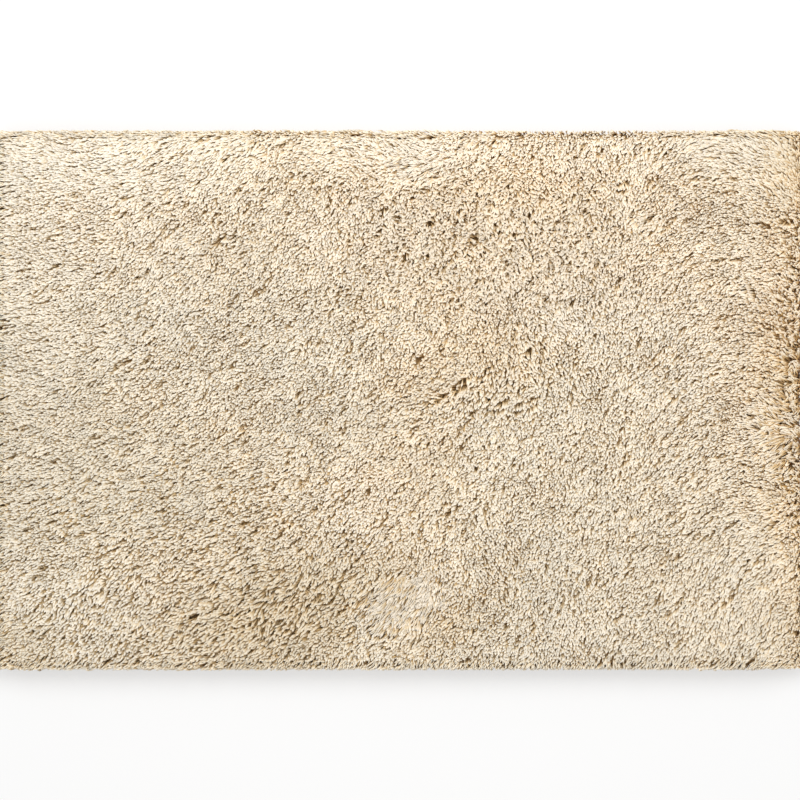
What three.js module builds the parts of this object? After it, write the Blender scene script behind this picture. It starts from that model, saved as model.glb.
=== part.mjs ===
// A cut length of wall-to-wall carpet with a long cut pile, lying flat on its backing.
// The yarn is tufted through the backing and bonded to it, so the carpet is one soft piece and one
// solid: a flat underside, cut edges that the pile leans out over, and a top as uneven as the pile.
//
// Frame: millimetres, +Z up, X along the length, Y along the width, the origin in the middle of
// the underside.
import * as THREE from 'three';

// Driving dimensions
const LENGTH = 800; // along X, over the pile
const WIDTH = 533; // along Y, over the pile
const BACKING = 4; // thickness of the bonded backing
const PILE = 27; // how far the tips stand above the backing in the open field
const OVERHANG = 4; // how far the pile leans out past the cut edge of the backing
const CELL = 14; // largest spacing of the points that carry the surface

const CARPET_COLOUR = '#ddcfb4'; // undyed cream yarn
const CARPET_ROUGHNESS = 0.95;

// The section of a cut edge, from the floor to the tips.
// level: 0 at the top of the backing and 1 at the tips. inset: in from the full outline.
const EDGE_SECTION = [
  { name: 'top of the backing', level: 0, inset: OVERHANG },
  { name: 'foot of the pile', level: 0.25, inset: 1.2 },
  { name: 'widest', level: 0.6, inset: 0 },
  { name: 'tips', level: 1, inset: 2.6 },
];

// How the pile falls away towards each cut edge, where no neighbour holds the yarn up.
// reach: how far in from the edge the fall begins. drop: how much lower the tips lie at the edge.
const EDGE_FALLS = [
  { name: 'left', side: (x) => LENGTH / 2 + x, reach: 45, drop: 6 },
  { name: 'right', side: (x) => LENGTH / 2 - x, reach: 62, drop: 10 },
  { name: 'near', side: (x, y) => WIDTH / 2 + y, reach: 26, drop: 4 },
  { name: 'far', side: (x, y) => WIDTH / 2 - y, reach: 40, drop: 8 },
];

// Soft troughs where the pile is parted or pressed, and soft crowns where it stands tallest.
// x, y: the middle. length, width: where it has faded out. turn: degrees of its length from +X.
// sink: how far the tips lie below the open field there, or above it where it is negative.
const PILE_FORMS = [
  { name: 'long parting', x: 88, y: -34, length: 190, width: 40, turn: 32, sink: 6 },
  { name: 'branch of the parting', x: 62, y: -78, length: 110, width: 34, turn: 50, sink: 4 },
  { name: 'upright crease', x: 92, y: -90, length: 130, width: 30, turn: 96, sink: 4 },
  { name: 'pressed place', x: 3, y: -178, length: 74, width: 66, turn: 0, sink: 9 },
  { name: 'combed below it', x: 6, y: -216, length: 110, width: 52, turn: 12, sink: 4 },
  { name: 'parting by the far corner', x: 350, y: 96, length: 84, width: 44, turn: 118, sink: 6 },
  { name: 'splayed edge', x: 384, y: -14, length: 260, width: 74, turn: 90, sink: 5 },
  { name: 'opening in the tangle', x: 78, y: 152, length: 62, width: 40, turn: 10, sink: 5 },
  { name: 'smaller opening', x: 184, y: 178, length: 46, width: 34, turn: 60, sink: 4 },
  { name: 'near hollow', x: -130, y: -208, length: 230, width: 96, turn: 26, sink: 4 },
  { name: 'left furrow', x: -300, y: -70, length: 260, width: 60, turn: 18, sink: 2.5 },
  { name: 'tangled crown', x: 70, y: 140, length: 380, width: 230, turn: 8, sink: -3 },
  { name: 'right crown', x: 235, y: -20, length: 300, width: 220, turn: 60, sink: -2 },
  { name: 'left crown', x: -190, y: 50, length: 360, width: 200, turn: 36, sink: -2 },
];

const smooth = (share) => THREE.MathUtils.smoothstep(share, 0, 1);

// A rounded hump of height 1 that has faded out at the ends of its length and width.
function hump(form, x, y) {
  const turn = THREE.MathUtils.degToRad(form.turn);
  const along = (x - form.x) * Math.cos(turn) + (y - form.y) * Math.sin(turn);
  const across = (y - form.y) * Math.cos(turn) - (x - form.x) * Math.sin(turn);
  return smooth(1 - Math.hypot(along / (form.length / 2), across / (form.width / 2)));
}

// How far the tips stand above the backing at a place on the carpet.
function pileDepth(x, y) {
  const falls = EDGE_FALLS.map((edge) => edge.drop * smooth(1 - edge.side(x, y) / edge.reach));
  const sinks = PILE_FORMS.map((form) => form.sink * hump(form, x, y));
  return PILE - Math.hypot(...falls) - sinks.reduce((sum, sink) => sum + sink, 0);
}

// Points of a closed solid that is built level by level, with the triangles between them.
function carpetGeometry() {
  const columns = Math.ceil(LENGTH / CELL);
  const rows = Math.ceil(WIDTH / CELL);
  const positions = [];
  const triangles = [];

  const addPoint = (x, y, z) => positions.push(x, y, z) / 3 - 1;
  const placeAt = (column, row, inset) => [
    (column / columns - 0.5) * (LENGTH - 2 * inset),
    (row / rows - 0.5) * (WIDTH - 2 * inset),
  ];

  // The grid's outermost points, once round and anticlockwise seen from above.
  const outline = [];
  for (let column = 0; column < columns; column++) outline.push([column, 0]);
  for (let row = 0; row < rows; row++) outline.push([columns, row]);
  for (let column = columns; column > 0; column--) outline.push([column, rows]);
  for (let row = rows; row > 0; row--) outline.push([0, row]);

  const ringAt = (inset, heightAt) =>
    outline.map(([column, row]) => {
      const [x, y] = placeAt(column, row, inset);
      return addPoint(x, y, heightAt(x, y));
    });
  const joinRings = (lower, upper) =>
    lower.forEach((from, index) => {
      const next = (index + 1) % lower.length;
      triangles.push(from, lower[next], upper[next], from, upper[next], upper[index]);
    });

  // The underside, a flat fan from the origin to the cut edge of the backing.
  const middle = addPoint(0, 0, 0);
  const underside = ringAt(OVERHANG, () => 0);
  underside.forEach((from, index) => {
    triangles.push(middle, underside[(index + 1) % underside.length], from);
  });

  // The cut edges, up to just below the tips.
  let lower = underside;
  for (const section of EDGE_SECTION.slice(0, -1)) {
    const upper = ringAt(section.inset, (x, y) => BACKING + section.level * pileDepth(x, y));
    joinRings(lower, upper);
    lower = upper;
  }

  // The top, a grid over the tips, whose outermost points close the cut edges.
  const tips = EDGE_SECTION.at(-1);
  const top = [];
  for (let row = 0; row <= rows; row++) {
    top.push([]);
    for (let column = 0; column <= columns; column++) {
      const [x, y] = placeAt(column, row, tips.inset);
      top[row].push(addPoint(x, y, BACKING + tips.level * pileDepth(x, y)));
    }
  }
  for (let row = 0; row < rows; row++) {
    for (let column = 0; column < columns; column++) {
      const [a, b] = [top[row][column], top[row][column + 1]];
      const [c, d] = [top[row + 1][column + 1], top[row + 1][column]];
      triangles.push(a, b, c, a, c, d);
    }
  }
  joinRings(lower, outline.map(([column, row]) => top[row][column]));

  const geometry = new THREE.BufferGeometry();
  geometry.setAttribute('position', new THREE.Float32BufferAttribute(positions, 3));
  geometry.setIndex(triangles);
  geometry.computeVertexNormals();
  return geometry;
}

const material = new THREE.MeshStandardMaterial({
  color: CARPET_COLOUR,
  roughness: CARPET_ROUGHNESS,
  metalness: 0,
});
const carpet = new THREE.Mesh(carpetGeometry(), material);
carpet.name = 'carpet';

const part = new THREE.Group();
part.add(carpet);

export default part;
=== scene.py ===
"""A cut length of wall-to-wall carpet with a long cut pile, lying flat on a studio floor.

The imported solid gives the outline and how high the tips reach. Here the carpet becomes a bonded
backing with well over a hundred thousand yarn strands tufted into it, laid in the directions that
the pile was combed, parted and pressed.
"""

import math

import bpy
import numpy as np
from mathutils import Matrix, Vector
from mathutils.bvhtree import BVHTree


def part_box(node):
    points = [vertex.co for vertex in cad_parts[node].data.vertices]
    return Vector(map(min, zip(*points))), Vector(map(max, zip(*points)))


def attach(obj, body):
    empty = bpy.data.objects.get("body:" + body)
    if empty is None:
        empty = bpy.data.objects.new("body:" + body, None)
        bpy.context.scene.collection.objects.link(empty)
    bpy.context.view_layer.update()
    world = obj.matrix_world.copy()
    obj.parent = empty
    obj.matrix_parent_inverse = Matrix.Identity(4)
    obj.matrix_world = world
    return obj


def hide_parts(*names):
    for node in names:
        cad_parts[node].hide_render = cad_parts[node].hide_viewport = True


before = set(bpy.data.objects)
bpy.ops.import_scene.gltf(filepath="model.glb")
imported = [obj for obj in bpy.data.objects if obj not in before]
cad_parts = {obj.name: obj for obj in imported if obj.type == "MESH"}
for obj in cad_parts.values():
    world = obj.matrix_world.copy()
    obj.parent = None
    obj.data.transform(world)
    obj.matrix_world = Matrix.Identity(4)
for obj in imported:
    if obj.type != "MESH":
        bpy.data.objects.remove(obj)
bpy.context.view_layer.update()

MM = 0.001
CARPET = "carpet"
BODY = "root"
SEED = 41

LOW, HIGH = (Vector(corner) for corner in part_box(CARPET))
LENGTH = HIGH.x - LOW.x
WIDTH = HIGH.y - LOW.y

# The backing and the yarn
BACKING = 4.0 * MM  # thickness
ROOTS = BACKING - 0.4 * MM  # height of the roots, just inside the backing
OVERHANG = 1.5 * MM  # how far the pile stands out past the cut edge of the backing
PITCH = 2.4 * MM  # between neighbouring tips
BELOW_TOP = 0.8 * MM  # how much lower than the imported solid's top they end
SHORT_PITCH = 3.0 * MM  # between the tips of the shorter strands that fill in below them
SHORT = 4.5 * MM  # how much lower than that top those end
# The shorter strands' colour is taken lower down the yarn's painted depth shade, for the deeper shade they
# end in.
SHORT_SHADE = 0.1  # how much further down the yarn their colour is taken from
LOCK = 11 * MM  # across a lock, the strands that lean together
YARN = 2.0 * MM  # across a strand that shows from root to tip, from corner to corner
FINE_YARN = 2.1 * MM  # across the others
EDGE_SHARE = 0.4  # of the strands along the edges, thick as they are
BARE_SHARE = 0.45  # of the strands where the pile lies open, that show from root to tip
BARE_FROM = 0.35  # how bare the pile has to be there, where 1 is the middle of a fan
SIDES = 3  # of a strand's section
SWAY = 0.9 * MM  # how far the middle of a strand strays
CLOSE_RINGS = (0.52, 0.94)  # where a strand leaves the close pile and where it is widest
BARE_RINGS = (0.0, 0.32, 0.58, 0.8, 0.94)  # sections of a strand that shows from root to tip
EDGE_RINGS = (0.0, 0.4, 0.72, 0.93)  # sections of the strands along the cut edges
EDGE_FILL_RINGS = (0.04, 0.86)  # where the strands between those begin and where they are widest
EDGE_STRIP = 8 * MM  # how far in from the cut edges both go
UPRIGHT_PITCH = 0.5 * MM  # between the upright strands along the edges that the pile leans out over
UPRIGHT_STRIP = 5 * MM  # how far in from the edge of the backing they are rooted
DENSE = 9 * MM  # how far below the tips the pile is too close to see into
DENSE_STEP = 5 * MM  # between the points of the body that stands for it
BANDS = 6  # pieces that the pile is divided into along its length

# The studio
FLOOR = 40.0  # length and width of the floor
SOFT_LIGHT = 0.74  # strength of the light all round

# How the pile lies from left to right. heading: where the tips point, in degrees from +X.
# throw: how far a tip lies from its root. stir: how unruly neighbouring strands are, in degrees.
LAY = [
    # x mm, heading, throw mm, stir
    (-400, 190, 15, 12),
    (-340, 200, 14.5, 13),
    (-280, 215, 14, 16),
    (-200, 223, 13.5, 17),
    (-100, 230, 13, 18),
    (0, 235, 13, 18),
    (100, 246, 13, 18),
    (160, 253, 13, 18),
    (200, 248, 13, 17),
    (260, 225, 14, 14),
    (300, 214, 14.5, 13),
    (340, 190, 15, 13),
    (376, 176, 12, 16),
    (400, 165, 7, 24),
]

# In the tables below a form is an ellipse: x and y are its middle, then come its length and width in
# mm, and lie is the direction of its length in degrees from +X. How far out it still counts, where 1
# is its outline:
SWEEP_REACH = 1.25
CLUMP_REACH = 1.2
PATCH_REACH = 1.3
GAP_REACH = (1.4, 1.8)  # along and across

# Where the lay turns away from that. turn: degrees added. throw: mm added. stir: degrees added.
SWEEPS = [
    dict(name="far left", x=-260, y=240, length=420, width=100, lie=0, turn=-13, throw=6, stir=-3),
    dict(name="near left", x=-380, y=-220, length=300, width=220, lie=0, turn=22, throw=0, stir=2),
    dict(name="left waist", x=-230, y=-110, length=200, width=130, lie=10, turn=-15, throw=1, stir=0),
    dict(name="far middle", x=-5, y=240, length=210, width=90, lie=0, turn=-52, throw=4, stir=6),
    dict(name="tangle", x=85, y=150, length=330, width=210, lie=5, turn=4, throw=3, stir=22),
    dict(name="upper middle", x=-60, y=110, length=640, width=210, lie=0, turn=12, throw=0, stir=0),
    dict(name="lower middle", x=-20, y=-90, length=760, width=200, lie=0, turn=-7, throw=0, stir=0),
    dict(name="above the parting", x=38, y=12, length=150, width=90, lie=30, turn=-24, throw=1, stir=5),
    dict(name="right of the parting", x=160, y=36, length=110, width=110, lie=90, turn=20, throw=0, stir=5),
    dict(name="upright crease", x=92, y=-148, length=130, width=60, lie=90, turn=24, throw=-1, stir=4),
    dict(name="near right", x=375, y=-215, length=220, width=230, lie=0, turn=48, throw=2, stir=-2),
    dict(name="far right", x=355, y=240, length=220, width=110, lie=0, turn=-20, throw=7, stir=-2),
    dict(name="right edge", x=388, y=20, length=300, width=70, lie=90, turn=-12, throw=0, stir=10),
    dict(name="near clumps", x=-135, y=-205, length=240, width=130, lie=20, turn=-4, throw=4, stir=-1),
]

# Where strands fan out from a point, lie flatter and show more of their length.
# from_x, from_y: that point. throw in mm. stir in degrees.
FANS = [
    dict(
        name="combed place", x=0, y=-206, length=104, width=60, lie=20,
        from_x=52, from_y=-128, throw=25, stir=9,
    ),
    dict(
        name="right splay", x=364, y=-34, length=70, width=96, lie=0,
        from_x=402, from_y=-30, throw=15, stir=16,
    ),
    dict(
        name="far whorl", x=16, y=234, length=76, width=40, lie=0,
        from_x=52, from_y=238, throw=17, stir=12,
    ),
]

# Painted shade: where the yarn's colour is taken from further down its painted depth shade than elsewhere
# at the same height, so browner, or from higher up and paler if below 0.
DEEPER_SHADE = [
    dict(name="right edge", x=408, y=30, length=460, width=90, lie=90, by=-0.01),
    dict(name="right edge, upper", x=370, y=105, length=90, width=90, lie=0, by=-0.04),
    dict(name="far left", x=-310, y=200, length=320, width=200, lie=0, by=-0.02),
    dict(name="far side", x=140, y=245, length=440, width=80, lie=0, by=-0.04),
    dict(name="right half", x=300, y=100, length=280, width=150, lie=90, by=-0.02),
    dict(name="near clumps", x=-120, y=-215, length=280, width=120, lie=10, by=0.05),
    dict(name="left middle", x=-300, y=-70, length=340, width=220, lie=0, by=0.02),
    dict(name="near left corner", x=-400, y=-250, length=140, width=90, lie=0, by=0.04),
    dict(name="combed place", x=30, y=-225, length=120, width=80, lie=0, by=0.02),
    dict(name="far right corner", x=400, y=240, length=90, width=90, lie=0, by=0.03),
    dict(name="tangle", x=100, y=170, length=380, width=200, lie=0, by=-0.035),
    dict(name="tangle, left part", x=-35, y=165, length=140, width=110, lie=0, by=-0.03),
    dict(name="tangle, right part", x=170, y=100, length=190, width=110, lie=0, by=-0.04),
    dict(name="left of the crease", x=-40, y=-100, length=90, width=90, lie=0, by=-0.03),
]

# Openings where neighbouring strands part and a dark gap shows, with the line of the gap in degrees.
# push: how far the tips on either side are moved away from that line, in mm.
GAPS = [
    # x mm, y mm, length mm, width mm, lie, push mm
    (-174, 236, 12, 4, 40, 1.8),
    (-146, 252, 10, 4, 15, 1.9),
    (-156, 210, 12, 4, 42, 1.8),
    (-228, 193, 10, 3.5, 48, 1.6),
    (-274, 181, 13, 3.5, 42, 1.5),
    (-200, 211, 10, 3.5, 60, 1.5),
    (-190, 190, 10, 3.5, 45, 1.5),
    (-135, 206, 11, 3.5, 55, 1.6),
    (-258, 118, 9, 4, 30, 1.6),
    (-176, 160, 10, 3.5, 50, 1.5),
    (-248, 70, 10, 4, 40, 1.5),
    (-164, 34, 10, 3.5, 45, 1.5),
    (-340, 8, 13, 3, 20, 1.4),
    (-160, -74, 9, 5, 20, 2),
    (-396, -72, 13, 3.5, 5, 1.8),
    (-285, -40, 10, 3.5, 30, 1.5),
    (-85, 91, 13, 3, 75, 1.5),
    (-39, 103, 11, 3.5, 62, 1.6),
    (19, 41, 11, 4.5, 50, 2.2),
    (42, 53, 13, 4, 65, 2.2),
    (73, 251, 9, 5, 20, 2.4),
    (93, 252, 9, 5, 20, 2.4),
    (16, 202, 10, 5, 20, 2.6),
    (-45, 197, 9, 5, 30, 2.4),
    (-16, 185, 9, 5, 20, 2.6),
    (-4, 177, 11, 4.5, 30, 2.4),
    (31, 176, 9, 6, 60, 2.7),
    (60, 190, 9, 5, 30, 2.6),
    (25, 141, 9, 6, 70, 2.7),
    (6, 141, 8, 5, 60, 2.4),
    (-21, 163, 9, 4.5, 60, 2.4),
    (56, 143, 9, 5, 60, 2.6),
    (72, 156, 13, 7.5, 80, 3.2),
    (112, 160, 12, 5, 5, 3.1),
    (184, 180, 14, 6.5, 115, 3.1),
    (220, 210, 10, 6, 20, 2.7),
    (197, 246, 8, 6, 120, 2.7),
    (157, 195, 8, 5, 60, 2.4),
    (162, 141, 11, 4.5, 80, 2.4),
    (247, 179, 9, 4.5, 40, 2.2),
    (171, 100, 11, 3.5, 75, 1.6),
    (151, 69, 13, 3.5, 65, 1.8),
    (36, 0, 18, 5, 20, 3.2),
    (61, 15, 21, 6, 35, 3.6),
    (68, -18, 16, 3.5, 45, 2.2),
    (87, 28, 13, 4.5, 40, 2.6),
    (100, -6, 12, 5.5, 40, 3.4),
    (117, -8, 12, 5.5, 35, 3.4),
    (131, -3, 15, 5.5, 40, 3.6),
    (126, 44, 12, 5, 60, 2.6),
    (142, 57, 12, 4.5, 60, 2.4),
    (65, -42, 15, 3, 50, 1.6),
    (44, -39, 11, 4, 55, 2),
    (25, -45, 10, 4, 40, 1.9),
    (2, -87, 15, 4, 40, 1.9),
    (-31, -90, 11, 3.5, 40, 1.8),
    (-53, -94, 13, 3, 55, 1.8),
    (47, -112, 11, 3.5, 50, 1.8),
    (86, -112, 19, 3.5, 92, 1.9),
    (91, -86, 15, 3, 85, 1.6),
    (77, -66, 10, 3.5, 55, 1.8),
    (112, -64, 11, 3.5, 65, 1.6),
    (18, -210, 22, 4, 15, 2.4),
    (4, -192, 20, 4, 0, 2.2),
    (-60, -210, 9, 4, 20, 1.9),
    (-145, -220, 13, 5, 30, 2.2),
    (-140, -203, 15, 5, 18, 2),
    (-153, -158, 9, 4, 20, 1.9),
    (-203, -214, 10, 4, 30, 1.8),
    (-200, -243, 13, 3.5, 40, 1.8),
    (-264, -231, 11, 3.5, 35, 1.6),
    (-91, -252, 13, 4, 70, 1.9),
    (130, -224, 9, 5.5, 70, 2.2),
    (75, -225, 9, 4, 60, 1.8),
    (-18, -231, 11, 5, 20, 1.9),
    (359, 172, 13, 4, 170, 2),
    (383, 176, 11, 5, 175, 2.2),
    (346, 106, 13, 6.5, 115, 2.6),
    (393, 128, 15, 5.5, 120, 2.4),
    (364, 72, 11, 4, 160, 2),
    (395, 26, 17, 6.5, 140, 2.4),
    (352, -28, 13, 5.5, 20, 2.3),
    (392, -50, 15, 5.5, 10, 2.3),
    (390, -66, 13, 5.5, 20, 2),
    (394, -112, 15, 5, 20, 2.2),
    (366, -124, 15, 4, 35, 1.9),
    (391, -174, 13, 4, 50, 1.8),
    (341, -160, 10, 4, 30, 1.8),
    (336, -225, 11, 3.5, 45, 1.6),
]

# Smaller openings scattered over the pile. Sizes in mm.
OPENINGS = dict(count=1300, length=8, width=3.6, push=1.6)

# Where the strands gather into clumps. gather: how far towards the middle of their clump, as a share.
# low: the share of the strands between them that stay low, and drop: how far, in mm.
CLUMPS = [
    dict(name="right edge", x=404, y=20, length=400, width=72, lie=90, gather=0.36, low=0.3, drop=7),
    dict(name="near clumps", x=-130, y=-208, length=210, width=110, lie=15, gather=0.05, low=0.4, drop=11),
    dict(name="tangle", x=85, y=155, length=360, width=230, lie=0, gather=0.04, low=0.07, drop=11),
    dict(name="near left", x=-200, y=-190, length=620, width=240, lie=0, gather=0.02, low=0.22, drop=6),
    dict(name="parting", x=82, y=10, length=190, width=64, lie=24, gather=0.06, low=0.24, drop=11),
]

# Painted warm shade: where the yarn is painted warmer, its lower part most of all.
WARM_SHADE = [
    dict(name="far side", x=150, y=240, length=640, width=120, lie=0, by=0.22),
    dict(name="tangle", x=95, y=150, length=360, width=210, lie=0, by=0.46),
    dict(name="parting", x=75, y=28, length=190, width=80, lie=8, by=0.26),
    dict(name="below the parting", x=5, y=-60, length=230, width=130, lie=90, by=0.19),
    dict(name="near middle", x=60, y=-190, length=200, width=110, lie=0, by=0.07),
    dict(name="near clumps", x=-150, y=-190, length=300, width=170, lie=5, by=0.17),
    dict(name="combed place", x=12, y=-210, length=130, width=90, lie=0, by=0.26),
    dict(name="left of the middle", x=-130, y=-60, length=220, width=150, lie=0, by=0.08),
    dict(name="far left", x=-180, y=165, length=380, width=150, lie=0, by=0.13),
    dict(name="near left corner", x=-340, y=-200, length=200, width=160, lie=0, by=-0.08),
    dict(name="right half", x=300, y=-20, length=560, width=170, lie=90, by=0.1),
    dict(name="right half, upper", x=290, y=150, length=170, width=170, lie=0, by=0.12),
    dict(name="inside the right edge", x=350, y=40, length=320, width=120, lie=90, by=0.18),
    dict(name="near right corner", x=370, y=-235, length=120, width=110, lie=0, by=0.15),
    dict(name="right edge", x=404, y=20, length=560, width=130, lie=90, by=0.46),
]

# Painted light and shade: where the yarn is painted lighter all along, or darker if below 0.
PAINTED_LIGHT_AND_SHADE = [
    dict(name="left waist", x=-370, y=-35, length=180, width=260, lie=0, by=-0.8),
    dict(name="near left", x=-250, y=-85, length=220, width=130, lie=0, by=-0.6),
    dict(name="near clumps", x=-130, y=-205, length=290, width=140, lie=10, by=-1.0),
    dict(name="combed place", x=25, y=-212, length=120, width=80, lie=0, by=-0.9),
    dict(name="parting", x=90, y=22, length=220, width=90, lie=20, by=-0.5),
    dict(name="left, far half", x=-190, y=80, length=280, width=240, lie=0, by=-0.5),
    dict(name="near the middle", x=125, y=-195, length=130, width=140, lie=0, by=-0.5),
    dict(name="tangle", x=95, y=150, length=330, width=180, lie=0, by=-1.0),
    dict(name="left of the crease", x=-40, y=-100, length=100, width=90, lie=0, by=0.5),
    dict(name="near right corner", x=370, y=-235, length=100, width=90, lie=0, by=-0.8),
    dict(name="near left corner", x=-385, y=-235, length=100, width=70, lie=0, by=-0.5),
    dict(name="right edge", x=385, y=-8, length=190, width=70, lie=90, by=-0.5),
    dict(name="far right", x=310, y=245, length=150, width=60, lie=0, by=-0.5),
    dict(name="below the middle", x=-80, y=-25, length=220, width=90, lie=0, by=-0.5),
]


def soft_step(share):
    """0 below 0 and 1 above 1, with a smooth rise between."""
    share = np.clip(share, 0.0, 1.0)
    return share * share * (3.0 - 2.0 * share)


def soft_noise(x, y, size, seed):
    """A smooth wandering value between about -1 and 1 that changes over the given size."""
    cells = 64
    lattice = np.random.default_rng(SEED + seed).uniform(-1.0, 1.0, (cells, cells))
    u, v = x / size + 17.3, y / size + 31.7
    column, row = np.floor(u).astype(int), np.floor(v).astype(int)
    across, up = soft_step(u - column), soft_step(v - row)
    left, right = column % cells, (column + 1) % cells
    near_row, far_row = row % cells, (row + 1) % cells
    near = lattice[near_row, left] * (1 - across) + lattice[near_row, right] * across
    far = lattice[far_row, left] * (1 - across) + lattice[far_row, right] * across
    return 1.5 * (near * (1 - up) + far * up)


def in_form(form, x, y):
    """How far along and across a form each place lies, in half lengths and half widths."""
    lie = math.radians(form["lie"])
    right, up = x - form["x"] * MM, y - form["y"] * MM
    along = (right * math.cos(lie) + up * math.sin(lie)) / (form["length"] * MM / 2)
    across = (up * math.cos(lie) - right * math.sin(lie)) / (form["width"] * MM / 2)
    return along, across


def share_in(form, x, y, reach):
    """How much of a form is at each place: all of it near the middle, and nothing past its reach."""
    return soft_step(reach - np.hypot(*in_form(form, x, y)))


def sum_of(forms, x, y):
    """What the forms of a table add at each place."""
    return sum(form["by"] * share_in(form, x, y, PATCH_REACH) for form in forms)


def plant_tips(rng, pitch):
    """The places of tips over the whole carpet, on an uneven close-set pattern."""
    row_step = pitch * math.sqrt(3) / 2
    rows = int(WIDTH / row_step) + 1
    columns = int((LENGTH + 4 * MM) / pitch) + 1
    row, column = np.mgrid[0:rows, 0:columns]
    x = (column + 0.5 * (row % 2) - columns / 2 + 0.25) * pitch
    y = (row - rows / 2 + 0.5) * row_step
    x, y = x.ravel(), y.ravel()
    stray = 0.22 * pitch
    return x + rng.normal(0.0, stray, x.size), y + rng.normal(0.0, stray, y.size)


def locks_of(x, y):
    """The middle of the lock that each strand belongs to, and that lock's number."""
    columns = int(LENGTH / LOCK) + 4
    rows = int(WIDTH / LOCK) + 4
    shift = np.random.default_rng(SEED + 5).uniform(-0.42, 0.42, (rows, columns, 2))
    column = np.floor((x + LENGTH / 2) / LOCK).astype(int) + 1
    row = np.floor((y + WIDTH / 2) / LOCK).astype(int) + 1
    best = np.full(x.shape, np.inf)
    middle_x, middle_y = np.zeros_like(x), np.zeros_like(y)
    number = np.zeros(x.shape, int)
    for row_step in (-1, 0, 1):
        for column_step in (-1, 0, 1):
            r = np.clip(row + row_step, 0, rows - 1)
            c = np.clip(column + column_step, 0, columns - 1)
            at_x = (c - 0.5 + shift[r, c, 0]) * LOCK - LENGTH / 2
            at_y = (r - 0.5 + shift[r, c, 1]) * LOCK - WIDTH / 2
            away = np.hypot(at_x - x, at_y - y)
            nearer = away < best
            best = np.where(nearer, away, best)
            middle_x, middle_y = np.where(nearer, at_x, middle_x), np.where(nearer, at_y, middle_y)
            number = np.where(nearer, r * columns + c, number)
    return middle_x, middle_y, number


def lay_of_pile(x, y):
    """How far each tip lies from its root along X and Y, the stir in radians, and the fans' share."""
    stops, *values = np.array(LAY, float).T
    heading, throw, stir = (np.interp(x / MM, stops, value) for value in values)
    for sweep in SWEEPS:
        share = share_in(sweep, x, y, SWEEP_REACH)
        heading = heading + sweep["turn"] * share
        throw = throw + sweep["throw"] * share
        stir = stir + sweep["stir"] * share
    heading = heading + 9 * soft_noise(x, y, 60 * MM, 1) + 8 * soft_noise(x, y, 19 * MM, 2)
    throw = throw * (1 + 0.12 * soft_noise(x, y, 34 * MM, 3))
    heading = np.radians(heading)
    move_x, move_y = throw * np.cos(heading), throw * np.sin(heading)
    fanned = np.zeros_like(x)
    for fan in FANS:
        share = share_in(fan, x, y, PATCH_REACH)
        right, up = x - fan["from_x"] * MM, y - fan["from_y"] * MM
        away = np.hypot(right, up) + 1e-6
        move_x = move_x * (1 - share) + fan["throw"] * share * right / away
        move_y = move_y * (1 - share) + fan["throw"] * share * up / away
        stir = stir * (1 - share) + fan["stir"] * share
        fanned = np.maximum(fanned, share)
    return move_x * MM, move_y * MM, np.radians(np.maximum(stir, 3)), fanned


def clumps_at(x, y):
    """How closely strands gather at each place, the share of them that stay low, and how much lower."""
    gather, low, drop = np.zeros((3, x.size))
    for clump in CLUMPS:
        share = share_in(clump, x, y, CLUMP_REACH)
        gather = np.maximum(gather, share * clump["gather"])
        low = np.maximum(low, share * clump["low"])
        drop = np.maximum(drop, share * clump["drop"] * MM)
    return gather, low, drop


def gap_forms(x, y, heading):
    """Every gap in the pile: the placed ones, then the small ones that follow the lay."""
    names = ("x", "y", "length", "width", "lie", "push")
    placed = [dict(zip(names, row)) for row in GAPS]
    rng = np.random.default_rng(SEED + 8)
    small = []
    for start in rng.choice(x.size, OPENINGS["count"], replace=False):
        size = rng.uniform(0.6, 1.3)
        form = {name: OPENINGS[name] * size for name in ("length", "width", "push")}
        place = dict(x=x[start] / MM, y=y[start] / MM, lie=math.degrees(heading[start]))
        small.append(form | place)
    return placed + small


def part_strands(gap, places, tip_x, tip_y):
    """Moves the tips of strands that lie over a gap, by their tip or by their upper body, out of it."""
    reach = gap["length"] * MM + gap["width"] * MM
    lie = math.radians(gap["lie"])
    for x, y in places:
        near = np.flatnonzero((np.abs(x - gap["x"] * MM) < reach) & (np.abs(y - gap["y"] * MM) < reach))
        along, across = in_form(gap, x[near], y[near])
        share = soft_step(GAP_REACH[0] - np.abs(along)) * soft_step(GAP_REACH[1] - np.abs(across))
        away = gap["push"] * MM * share * np.sign(across)
        tip_x[near] -= away * math.sin(lie)
        tip_y[near] += away * math.cos(lie)


def height_of_tips(x, y):
    """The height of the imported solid's top at each place, read a little inside its cut edges."""
    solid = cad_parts[CARPET].data
    places = [vertex.co for vertex in solid.vertices]
    tree = BVHTree.FromPolygons(places, [face.vertices for face in solid.polygons])
    down = Vector((0, 0, -1))
    inset = 5 * MM
    inside_x = np.clip(x, LOW.x + inset, HIGH.x - inset).tolist()
    inside_y = np.clip(y, LOW.y + inset, HIGH.y - inset).tolist()
    above = HIGH.z + 10 * MM
    return np.array([tree.ray_cast(Vector((a, b, above)), down)[0].z for a, b in zip(inside_x, inside_y)])


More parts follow.
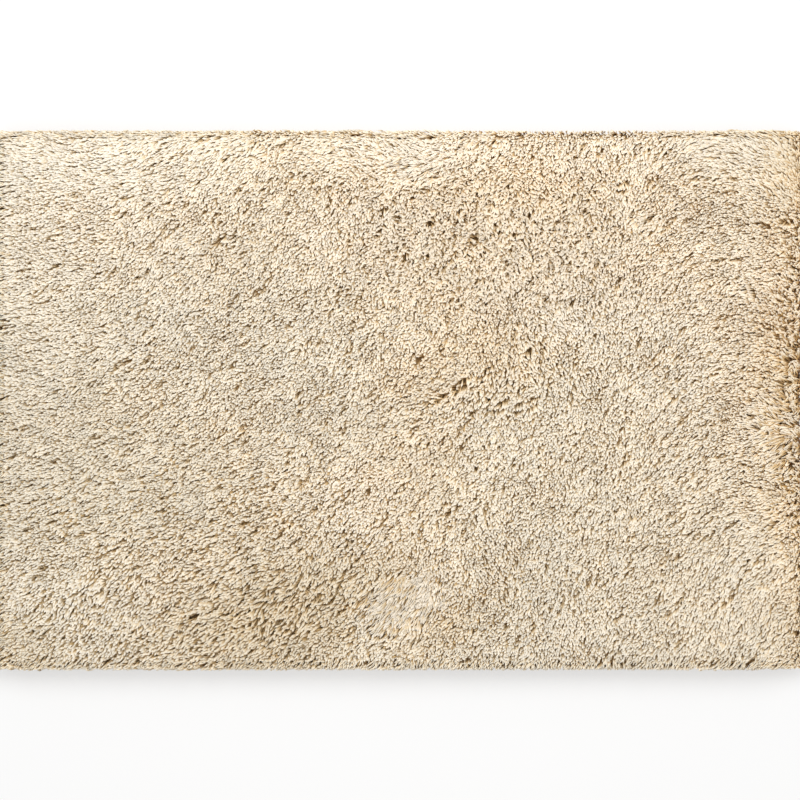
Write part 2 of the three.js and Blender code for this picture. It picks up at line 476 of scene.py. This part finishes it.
def lay_strands(rng, pitch, lower):
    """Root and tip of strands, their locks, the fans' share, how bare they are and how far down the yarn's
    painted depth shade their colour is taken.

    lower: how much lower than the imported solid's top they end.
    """
    x, y = plant_tips(rng, pitch)
    count = x.size
    move_x, move_y, stir, fanned = lay_of_pile(x, y)

    # The strands of a lock turn, stretch and rise together, and each strays a little by itself.
    lock_x, lock_y, lock = locks_of(x, y)
    habits = np.random.default_rng(SEED + 6).normal(0, 1, (3, lock.max() + 1))
    lock_turn, lock_throw, lock_rise = habits[:, lock]
    clumped, low_share, drop = clumps_at(x, y)
    low = rng.random(count) < low_share
    turn = stir * (0.45 * lock_turn + rng.normal(0, 1.0, count)) + clumped * lock_turn
    longer = np.clip(1 + 0.1 * lock_throw + rng.normal(0, 0.2, count), 0.3, 1.8)
    root_x = x - longer * (move_x * np.cos(turn) - move_y * np.sin(turn))
    root_y = y - longer * (move_x * np.sin(turn) + move_y * np.cos(turn))

    # No root stands outside the backing.
    reach_x = LENGTH / 2 - OVERHANG - rng.uniform(0.5, 1.5, count) * MM
    reach_y = WIDTH / 2 - OVERHANG - rng.uniform(0.5, 1.5, count) * MM
    too_far = np.clip(root_x - reach_x, 0, None)
    root_x, root_y = np.clip(root_x, -reach_x, reach_x), np.clip(root_y, -reach_y, reach_y)

    # Tips gather towards the middle of their lock. Clumped ones at the right edge also lean inward.
    inside = soft_step((LENGTH / 2 + MM - x) / (3 * MM))
    leaning = soft_step(clumped / 0.33) * ~low * (lower < SHORT) * inside
    gather = 0.02 + 0.05 * stir + clumped * ~low + 0.1 * fanned
    tip_x = x + gather * (lock_x - x) - leaning * too_far
    tip_y = y + gather * (lock_y - y)
    bare = np.maximum(fanned, 0.9 * leaning)

    # The gaps push them apart, and no tip hangs far out over the cut edges.
    body_x, body_y = 0.4 * root_x + 0.6 * x, 0.4 * root_y + 0.6 * y
    for gap in gap_forms(x, y, np.arctan2(move_y, move_x)):
        part_strands(gap, [(x, y), (body_x, body_y)], tip_x, tip_y)
    out_x = LENGTH / 2 + MM * rng.uniform(0.5, 2.5, count)
    out_y = WIDTH / 2 + 0.8 * MM * rng.uniform(-1, 1, count)
    tip_x, tip_y = np.clip(tip_x, -out_x, out_x), np.clip(tip_y, -out_y, out_y)

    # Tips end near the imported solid's top, and lower in fans and between clumps.
    tip_z = height_of_tips(tip_x, tip_y)
    tip_z = tip_z - lower + (0.7 + 3 * clumped) * MM * lock_rise + rng.normal(0, 0.4 * MM, count)
    tip_z = tip_z - 3 * MM * fanned - drop * low * rng.uniform(0.4, 1.0, count)
    tip_z = tip_z - 0.8 * drop * low_share * (lower >= SHORT)
    tip_z = np.clip(tip_z, BACKING + 6 * MM, HIGH.z + 1.5 * MM)

    root = np.stack([root_x, root_y, np.full(count, ROOTS)], 1)
    tip = np.stack([tip_x, tip_y, tip_z], 1)
    # Painted shade: strands that stay low take their colour from further down the yarn, those in fans from
    # higher up so that they look lit, and those leaning in at the right edge mostly from lower down.
    deeper_shade = 0.28 * low - 0.13 * fanned - leaning * rng.uniform(-0.02, 0.14, count)
    return root, tip, lock, fanned, bare, deeper_shade + sum_of(DEEPER_SHADE, x, y)


def line_cut_edges(rng):
    """Root, tip and lock of upright strands along the cut edges that the pile leans out over.

    The slanting strands are rooted too far in there to hide the edge of the backing.
    """
    reach_x, reach_y = LENGTH / 2 - OVERHANG, WIDTH / 2 - OVERHANG
    places = []
    for out_x, out_y in ((-1, 0), (1, 0), (0, -1), (0, 1)):
        half = reach_y if out_x else reach_x
        along = np.arange(-half, half, UPRIGHT_PITCH)
        reach = (reach_x if out_x else reach_y) - rng.uniform(0.4 * MM, UPRIGHT_STRIP, along.size)
        x, y = (out_x * reach, along) if out_x else (along, out_y * reach)
        move_x, move_y = lay_of_pile(x, y)[:2]
        leads_out = move_x * out_x + move_y * out_y > 2 * MM
        places.append(np.stack([x, y, move_x, move_y], 1)[leads_out])
    x, y, move_x, move_y = np.concatenate(places).T
    lock_x, lock_y, lock = locks_of(x, y)
    lean = rng.uniform(0.3, 0.8, x.size)
    out_x = LENGTH / 2 + MM * rng.uniform(-1.2, 1.2, x.size)
    out_y = WIDTH / 2 + 0.8 * MM * rng.uniform(-1.5, 1, x.size)
    tip_x = np.clip(x + lean * move_x + 0.25 * (lock_x - x), -out_x, out_x)
    tip_y = np.clip(y + lean * move_y + 0.25 * (lock_y - y), -out_y, out_y)
    tip_z = height_of_tips(tip_x, tip_y) - rng.uniform(1.5, 8, x.size) * MM
    root = np.stack([x, y, np.full(x.size, ROOTS)], 1)
    return root, np.stack([tip_x, tip_y, tip_z], 1), lock


def strand_lines(root, tip, t, rng, flat):
    """Points along each strand at the shares t of the way from root to tip, bending softly over.

    flat: 0 for a strand that stands like its neighbours, 1 for one that is combed down.
    """
    count = len(root)
    flat = flat[:, None, None]
    reach = (tip - root)[:, None, :]
    bend = rng.uniform(1.7, 2.1, (count, 1, 1)) - 0.4 * flat
    rise = rng.uniform(1.4, 1.7, (count, 1, 1)) + 0.6 * flat
    sway = rng.normal(0, SWAY, (count, 1, 3)) * [1, 1, 0] * np.sin(np.pi * t)
    return root[:, None, :] + reach * [1, 1, 0] * t**bend + reach * [0, 0, 1] * (1 - (1 - t) ** rise) + sway


def across_strand(run):
    """Unit directions level across each strand and square to it on its upper side."""
    run = run / np.linalg.norm(run, axis=-1, keepdims=True)
    side = np.cross(run, [0.0, 0.0, 1.0]) + [1e-6, 0, 0]
    side /= np.linalg.norm(side, axis=-1, keepdims=True)
    return side, np.cross(side, run)


def full_strands(root, tip, rings, rng, flat):
    """Strands with a section at each of the rings: their points, faces and heights along the strand."""
    count, levels = len(root), len(rings)
    t = np.array([*rings, 1.0])[None, :, None]
    line = strand_lines(root, tip, t, rng, flat)
    side, front = across_strand(np.gradient(line, axis=1)[:, :-1])
    turn = rng.uniform(0, 2 * np.pi, (count, 1, 1))
    corner = np.arange(SIDES)[None, None, :] * 2 * np.pi / SIDES + turn
    taper = 1.0 - 0.15 * np.array(rings)[None, :, None] ** 4
    radius = 0.5 * YARN * rng.uniform(0.8, 1.12, (count, 1, 1)) * taper
    sections = (
        line[:, :-1, None, :]
        + (radius * np.cos(corner))[..., None] * side[:, :, None, :]
        + (radius * np.sin(corner))[..., None] * front[:, :, None, :]
    ).reshape(count, -1, 3)
    points = np.concatenate([sections, line[:, -1:, :]], axis=1)

    ring, around = np.mgrid[0 : levels - 1, 0:SIDES]
    a = (ring * SIDES + around).ravel()
    b = (ring * SIDES + (around + 1) % SIDES).ravel()
    last = (levels - 1) * SIDES
    end = [[last + i, last + (i + 1) % SIDES, levels * SIDES] for i in range(SIDES)]
    foot = [list(range(SIDES))[::-1]]
    sides = [np.stack([a, b, b + SIDES], 1), np.stack([a, b + SIDES, a + SIDES], 1)]
    faces = np.concatenate([*sides, end, foot])
    return points, faces, np.append(np.repeat(np.array(rings), SIDES), 1.0)


def close_strands(root, tip, rings, rng, flat):
    """Strands whose feet are hidden, as slim wedges that are widest just behind the tip."""
    count = len(root)
    t = np.array([*rings, 1.0])[None, :, None]
    line = strand_lines(root, tip, t, rng, flat)
    side, front = across_strand(line[:, 2] - line[:, 0])
    roll = rng.normal(0, 0.45, (count, 1))
    radius = 0.5 * FINE_YARN * rng.uniform(0.8, 1.2, (count, 1))
    across = radius * (side * np.cos(roll) + front * np.sin(roll))
    points = np.stack([line[:, 0], line[:, 1] - across, line[:, 1] + across, line[:, 2]], axis=1)
    faces = np.array([[0, 2, 1], [2, 3, 1], [0, 1, 3], [0, 3, 2]])
    return points, faces, np.array([rings[0], rings[1], rings[1], 1.0])


def strand_mesh(strands, tint, deeper_shade, warmer, smooth):
    """One mesh of all the strands, with how far along each point is less its painted depth shade, how light
    it is with painted light and shade, and its painted warm shade.
    """
    points, one, heights = strands
    count, per_strand = points.shape[:2]
    faces = (one[None] + (np.arange(count) * per_strand)[:, None, None]).reshape(-1, 3)
    mesh = bpy.data.meshes.new("strands")
    mesh.vertices.add(points.size // 3)
    mesh.vertices.foreach_set("co", points.astype(np.float32).ravel())
    mesh.loops.add(faces.size)
    mesh.loops.foreach_set("vertex_index", faces.astype(np.int32).ravel())
    mesh.polygons.add(len(faces))
    mesh.polygons.foreach_set("loop_start", np.arange(0, faces.size, 3, dtype=np.int32))
    mesh.polygons.foreach_set("use_smooth", np.full(len(faces), smooth))
    mesh.update(calc_edges=True)
    along = np.tile(heights, count) - np.repeat(deeper_shade, per_strand)
    kept = {"along": along, "tint": np.repeat(tint, per_strand), "warmer": np.repeat(warmer, per_strand)}
    for title, values in kept.items():
        layer = mesh.attributes.new(title, "FLOAT", "POINT")
        layer.data.foreach_set("value", values.astype(np.float32))
    return mesh


class Wire:
    """One output of a node. Sums and products of wires and numbers add Math nodes."""

    def __init__(self, finish, socket):
        self.finish = finish
        self.socket = socket

    def maths(self, operation, *terms):
        return self.finish.node("ShaderNodeMath", {"operation": operation}, dict(enumerate(terms)))

    def __add__(self, other):
        return self.maths("ADD", self, other)

    __radd__ = __add__

    def __mul__(self, other):
        return self.maths("MULTIPLY", self, other)

    __rmul__ = __mul__

    def __sub__(self, other):
        return self.maths("SUBTRACT", self, other)

    def __rsub__(self, other):
        return self.maths("SUBTRACT", other, self)


class Finish:
    """A material, or the light all round, that is built node by node."""

    def __init__(self, owner):
        self.owner = owner
        self.owner.use_nodes = True
        self.tree = self.owner.node_tree
        self.tree.nodes.clear()

    def node(self, kind, settings=None, inputs=None, output=0):
        """Adds a node: its settings first, then the values or wires of its sockets."""
        made = self.tree.nodes.new(kind)
        for name, value in (settings or {}).items():
            if name == "stops":
                self.set_stops(made.color_ramp, value)
            else:
                setattr(made, name, value)
        for name, value in (inputs or {}).items():
            if isinstance(value, Wire):
                self.tree.links.new(value.socket, made.inputs[name])
            else:
                made.inputs[name].default_value = value
        return Wire(self, made.outputs[output]) if made.outputs else None

    @staticmethod
    def set_stops(ramp, stops):
        """Gives a ramp its places and colours."""
        while len(ramp.elements) < len(stops):
            ramp.elements.new(0.5)
        for element, (position, colour) in zip(ramp.elements, stops):
            element.position = position
            element.color = (*colour, 1.0)

    def kept(self, name):
        """A value that each point of the mesh carries."""
        return self.node("ShaderNodeAttribute", {"attribute_name": name}, output="Fac")

    def in_view(self):
        """1 where the view or a reflection meets this finish, and 0 for the light that it gives."""
        rays = ("Is Camera Ray", "Is Glossy Ray", "Is Transmission Ray")
        seen = sum(self.node("ShaderNodeLightPath", output=ray) for ray in rays)
        return seen.maths("MINIMUM", seen, 1.0)

    def mix(self, share, first, second, blend="MIX"):
        settings = {"data_type": "RGBA", "blend_type": blend}
        return self.node("ShaderNodeMix", settings, {0: share, 6: first, 7: second}, output=2)


def rgb(red, green, blue):
    return (red, green, blue, 1.0)


def yarn_finish():
    """Undyed cream yarn with soft matt fibres, painted warm brown towards the root as painted shade of the
    pile's depth, and pale at the tip.
    """
    yarn = Finish(bpy.data.materials.new("cream yarn"))
    along = yarn.kept("along")
    tint = yarn.kept("tint")
    # Painted shade: the yarn is cream all along, and the brown towards the root stands for the shade deep
    # in the pile.
    depth = yarn.node(
        "ShaderNodeValToRGB",
        {"stops": [
            (0.0, (0.33, 0.175, 0.05)),
            (0.5, (0.505, 0.33, 0.125)),
            (0.78, (0.735, 0.57, 0.34)),
            (0.87, (0.863, 0.752, 0.565)),
            (0.93, (0.918, 0.848, 0.71)),
            (0.98, (0.938, 0.878, 0.78)),
        ]},
        {0: along},
    )
    place = yarn.node("ShaderNodeTexCoord", output="Object")
    fibres = yarn.node(
        "ShaderNodeTexNoise", None, {"Vector": place, "Scale": 900.0, "Detail": 3.0, "Roughness": 0.6}
    )
    patches = yarn.node("ShaderNodeTexNoise", None, {"Vector": place, "Scale": 14.0, "Detail": 2.0})
    # How light the yarn is: a random tint by strand and lock with painted light and shade by place, and
    # fibres and patches.
    light = 1.0 + tint * 0.08 + (fibres - 0.5) * 0.10 + (patches - 0.5) * 0.06
    shaded = yarn.node("ShaderNodeVectorMath", {"operation": "SCALE"}, {0: depth, 3: light})
    # Painted warm shade, strongest low on the strands, over the yarn's own slight warmth.
    warmth = 0.045 + tint * 0.04 + yarn.kept("warmer") * (1.9 - 1.2 * along)
    warm = yarn.mix(warmth, rgb(1.0, 1.0, 1.0), rgb(1.12, 0.95, 0.70))
    colour = yarn.mix(1.0, shaded, warm, "MULTIPLY")
    bump = yarn.node("ShaderNodeBump", None, {"Height": fibres, "Strength": 0.3, "Distance": 0.0004})
    surface = yarn.node(
        "ShaderNodeBsdfPrincipled",
        None,
        {
            "Base Color": colour,
            "Roughness": 0.85,
            "Specular IOR Level": 0.25,
            "Sheen Weight": 0.2,
            "Sheen Roughness": 0.5,
            "Sheen Tint": rgb(1.0, 0.95, 0.86),
            "Normal": bump,
        },
    )
    yarn.node("ShaderNodeOutputMaterial", None, {"Surface": surface})
    return yarn.owner


def dense_finish():
    """Yarn deep in the pile: painted warm brown as the shade it lies in, matt and full of small shadows."""
    deep = Finish(bpy.data.materials.new("yarn in the depth of the pile, painted in shade"))
    place = deep.node("ShaderNodeTexCoord", output="Object")
    lumps = deep.node("ShaderNodeTexNoise", None, {"Vector": place, "Scale": 420.0, "Detail": 2.0})
    # Painted shade: the close yarn is painted dark brown for the shade between the strands.
    colour = deep.mix(lumps, rgb(0.4, 0.235, 0.09), rgb(0.62, 0.42, 0.2))
    bump = deep.node("ShaderNodeBump", None, {"Height": lumps, "Strength": 0.8, "Distance": 0.002})
    surface = deep.node(
        "ShaderNodeBsdfPrincipled", None, {"Base Color": colour, "Roughness": 0.95, "Normal": bump}
    )
    deep.node("ShaderNodeOutputMaterial", None, {"Surface": surface})
    return deep.owner


def backing_finish():
    """Woven backing cloth, bonded to the tufts."""
    cloth = Finish(bpy.data.materials.new("woven backing"))
    place = cloth.node("ShaderNodeTexCoord", output="Object")
    uneven = {"Vector": place, "Distortion": 0.7, "Detail": 2.0, "Detail Scale": 0.4}
    warp = cloth.node("ShaderNodeTexWave", {"bands_direction": "X"}, uneven | {"Scale": 90.0}, output=1)
    weft = cloth.node("ShaderNodeTexWave", {"bands_direction": "Y"}, uneven | {"Scale": 70.0}, output=1)
    weave = warp * weft
    slubs = cloth.node("ShaderNodeTexNoise", None, {"Vector": place, "Scale": 130.0, "Detail": 5.0})
    shade = 0.8 * weave + (slubs - 0.42) * 0.7
    colour = cloth.mix(shade, rgb(0.30, 0.23, 0.15), rgb(0.66, 0.57, 0.43))
    bump = cloth.node("ShaderNodeBump", None, {"Height": weave, "Strength": 0.7, "Distance": 0.001})
    surface = cloth.node(
        "ShaderNodeBsdfPrincipled", None, {"Base Color": colour, "Roughness": 0.9, "Normal": bump}
    )
    cloth.node("ShaderNodeOutputMaterial", None, {"Surface": surface})
    return cloth.owner


def floor_finish():
    """Pale floor that keeps the carpet's shadow and otherwise looks nearly white."""
    pale = Finish(bpy.data.materials.new("studio floor"))
    seen = 0.5 * pale.in_view()
    lit = pale.node("ShaderNodeBsdfDiffuse", None, {"Color": rgb(0.9, 0.9, 0.9)})
    white = pale.node("ShaderNodeEmission", None, {"Color": rgb(1.0, 1.0, 1.0), "Strength": 1.0})
    surface = pale.node("ShaderNodeMixShader", None, {0: seen, 1: lit, 2: white})
    pale.node("ShaderNodeOutputMaterial", None, {"Surface": surface})
    return pale.owner


def put_in_scene(name, data):
    """A new object that shows a mesh, a lamp or a camera."""
    made = bpy.data.objects.new(name, data)
    bpy.context.scene.collection.objects.link(made)
    return made


def add_piece(piece, material):
    """Gives a piece its finish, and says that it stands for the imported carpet."""
    piece.data.materials.append(material)
    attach(piece, BODY)
    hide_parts(CARPET)
    return piece


def join_pile(name, meshes, material):
    """One piece of the strands of a band."""
    objects = [put_in_scene(name, mesh) for mesh in meshes]
    bpy.ops.object.select_all(action="DESELECT")
    for made in objects:
        made.select_set(True)
    bpy.context.view_layer.objects.active = objects[0]
    bpy.ops.object.join()
    return add_piece(objects[0], material)


def looks_of(rng, tip, lock, deeper_shade):
    """How light each strand is with painted light and shade, how far down the yarn's painted depth shade
    its colour is taken, and its painted warm shade.
    """
    lock_tint = np.random.default_rng(SEED + 7).uniform(-1, 1, lock.max() + 1)[lock]
    x, y = tip[:, 0], tip[:, 1]
    tint = 0.5 * rng.uniform(-1, 1, lock.size) + 0.5 * lock_tint + sum_of(PAINTED_LIGHT_AND_SHADE, x, y)
    return tint, deeper_shade, sum_of(WARM_SHADE, x, y)


def kinds_of_strand(rng, tip, bare, short):
    """For each kind of strand its shape, the places of its sections, and which strands are of it."""
    from_edge = np.minimum(LENGTH / 2 - np.abs(tip[:, 0]), WIDTH / 2 - np.abs(tip[:, 1]))
    shows = bare > BARE_FROM
    at_edge = (from_edge < EDGE_STRIP) & ~shows
    some = rng.random(bare.size)
    if short:
        return [(close_strands, CLOSE_RINGS, ~at_edge)]
    full = shows & (some < BARE_SHARE)
    return [
        (close_strands, CLOSE_RINGS, ~(at_edge | full)),
        (full_strands, BARE_RINGS, full),
        (full_strands, EDGE_RINGS, at_edge & (some < EDGE_SHARE)),
        (close_strands, EDGE_FILL_RINGS, at_edge & (some > EDGE_SHARE)),
    ]


def shape_strands(bands, kinds, root, tip, flat, looks, rng):
    """Adds to each band the meshes of its strands, one for each kind."""
    band = np.clip((tip[:, 0] / LENGTH + 0.5) * BANDS, 0, BANDS - 1).astype(int)
    for number, meshes in enumerate(bands):
        for shape, rings, wanted in kinds:
            kind = wanted & (band == number)
            if kind.any():
                strands = shape(root[kind], tip[kind], rings, rng, flat[kind])
                meshes.append(strand_mesh(strands, *[look[kind] for look in looks], shape is full_strands))


def make_pile():
    """The long strands, the shorter ones that fill in below them, and the upright ones at the edges."""
    bands = [[] for _ in range(BANDS)]
    rng = np.random.default_rng(SEED)
    for pitch, lower in ((PITCH, BELOW_TOP), (SHORT_PITCH, SHORT)):
        root, tip, lock, fanned, bare, deeper_shade = lay_strands(rng, pitch, lower)
        short = lower == SHORT
        looks = looks_of(rng, tip, lock, deeper_shade + SHORT_SHADE * short)
        kinds = kinds_of_strand(rng, tip, bare, short)
        shape_strands(bands, kinds, root, tip, fanned, looks, rng)

    rng = np.random.default_rng(SEED + 12)
    root, tip, lock = line_cut_edges(rng)
    looks = looks_of(rng, tip, lock, sum_of(DEEPER_SHADE, tip[:, 0], tip[:, 1]))
    kinds = [(full_strands, EDGE_RINGS, np.ones(lock.size, bool))]
    shape_strands(bands, kinds, root, tip, np.zeros(lock.size), looks, rng)

    yarn = yarn_finish()
    return [join_pile(f"pile_{number}", meshes, yarn) for number, meshes in enumerate(bands, 1)]


def make_dense_pile():
    """The close mass of yarn that shows between the strands, as a soft lumpy body on the backing."""
    reach_x = LENGTH / 2 - OVERHANG - 2.5 * MM
    reach_y = WIDTH / 2 - OVERHANG - 2.5 * MM
    columns, rows = int(2 * reach_x / DENSE_STEP), int(2 * reach_y / DENSE_STEP)
    row, column = np.mgrid[0 : rows + 1, 0 : columns + 1]
    x = (2 * column / columns - 1) * reach_x
    y = (2 * row / rows - 1) * reach_y
    x, y = x.ravel(), y.ravel()

    # It lies lower under clumps, gaps and along the cut edges, and nowhere below the backing.
    z = height_of_tips(x, y) - DENSE
    for clump in CLUMPS:
        z = z - 0.6 * clump["drop"] * MM * share_in(clump, x, y, CLUMP_REACH)
    for at_x, at_y, length, width, lie, push in GAPS:
        pit = dict(x=at_x, y=at_y, length=length + 6, width=width + 6, lie=lie)
        z = z - 1.8 * push * MM * share_in(pit, x, y, CLUMP_REACH)
    inward = np.minimum(reach_x - np.abs(x), reach_y - np.abs(y))
    z = z - 2 * MM * (1 - soft_step(inward / (9 * MM)))
    z = z + 1.2 * MM * soft_noise(x, y, 7 * MM, 11)
    z = np.maximum(z, BACKING + 1 * MM)
    top = np.stack([x, y, z], 1)

    grid = row * (columns + 1) + column
    a, b = grid[:-1, :-1].ravel(), grid[:-1, 1:].ravel()
    c, d = grid[1:, 1:].ravel(), grid[1:, :-1].ravel()
    upper = np.stack([a, b, c, d], 1)
    rim = np.concatenate([grid[0, :-1], grid[:-1, -1], grid[-1, :0:-1], grid[:0:-1, 0]])
    foot = np.arange(rim.size) + x.size
    wall = np.stack([foot, np.roll(foot, -1), np.roll(rim, -1), rim], 1)
    inside_backing = BACKING - 0.3 * MM
    bottom = top[rim] * [1, 1, 0] + [0, 0, inside_backing]
    faces = [*upper.tolist(), *wall.tolist(), foot[::-1].tolist()]
    mesh = bpy.data.meshes.new("dense_pile")
    mesh.from_pydata(np.concatenate([top, bottom]).tolist(), [], faces)
    mesh.polygons.foreach_set("use_smooth", np.ones(len(faces), bool))
    return add_piece(put_in_scene("dense_pile", mesh), dense_finish())


def make_backing():
    """The sheet that the yarn is tufted through, with an even grid of faces above and below."""
    columns, rows = 60, 40
    points, faces = [], []
    for level in (0.0, BACKING):
        for row in range(rows + 1):
            for column in range(columns + 1):
                x = (2 * column / columns - 1) * (LENGTH / 2 - OVERHANG)
                y = (2 * row / rows - 1) * (WIDTH / 2 - OVERHANG)
                points.append((x, y, level))
    layer = (rows + 1) * (columns + 1)

    def at(column, row, level=0):
        return level * layer + row * (columns + 1) + column

    for row in range(rows):
        for column in range(columns):
            corners = [(column, row), (column + 1, row), (column + 1, row + 1), (column, row + 1)]
            faces.append([at(*corner, 1) for corner in corners])
            faces.append([at(*corner) for corner in reversed(corners)])
    outline = [(c, 0) for c in range(columns)] + [(columns, r) for r in range(rows)]
    outline += [(c, rows) for c in range(columns, 0, -1)] + [(0, r) for r in range(rows, 0, -1)]
    for here, there in zip(outline, outline[1:] + outline[:1]):
        faces.append([at(*here), at(*there), at(*there, 1), at(*here, 1)])
    mesh = bpy.data.meshes.new("backing")
    mesh.from_pydata(points, [], faces)
    mesh.validate()
    return add_piece(put_in_scene("backing", mesh), backing_finish())


def add_light(name, place, size, power):
    """A round soft light that faces the middle of the carpet."""
    lamp = bpy.data.lights.new(name, "AREA")
    lamp.shape = "DISK"
    lamp.size = size
    lamp.energy = power
    light = put_in_scene(name, lamp)
    light.location = place
    light.rotation_euler = (-Vector(place)).to_track_quat("-Z", "Y").to_euler()


def make_studio():
    """A plain pale floor, a broad soft light beyond the far edge, and soft light all round.

    The floor is open below the backing, so that the underside is seen and lit from below.
    """
    scene = bpy.context.scene
    scene.view_settings.view_transform = "Standard"
    floor_mesh = bpy.data.meshes.new("floor")
    edges = ((FLOOR / 2, FLOOR / 2), (LENGTH / 2 - OVERHANG, WIDTH / 2 - OVERHANG))
    signs = ((-1, -1), (1, -1), (1, 1), (-1, 1))
    corners = [(right * reach_x, up * reach_y, 0) for reach_x, reach_y in edges for right, up in signs]
    sides = [(i, (i + 1) % 4, (i + 1) % 4 + 4, i + 4) for i in range(4)]
    floor_mesh.from_pydata(corners, [], sides)
    floor_mesh.materials.append(floor_finish())
    floor = put_in_scene("floor", floor_mesh)

    around = Finish(bpy.data.worlds.new("studio"))
    strength = SOFT_LIGHT + around.in_view() * (1.0 - SOFT_LIGHT)
    white = rgb(1.0, 0.995, 0.985)
    light = around.node("ShaderNodeBackground", None, {"Color": white, "Strength": strength})
    around.node("ShaderNodeOutputWorld", None, {"Surface": light})
    scene.world = around.owner

    add_light("overhead softbox", place=(0.02, 0.82, 1.45), size=1.2, power=16.0)


def make_camera():
    """Straight above the carpet, with a long lens, so that its length fills the view."""
    data = bpy.data.cameras.new("camera")
    data.lens = 85.0
    data.sensor_width = 36.0
    camera = put_in_scene("camera", data)
    widest = BACKING + 0.6 * (HIGH.z - BACKING)
    in_view = LENGTH - 9 * MM
    camera.location = (0.0, 0.0, widest + in_view * data.lens / data.sensor_width)
    bpy.context.scene.camera = camera


make_camera()
make_studio()
pile = make_pile()
backing = make_backing()
pile.append(make_dense_pile())
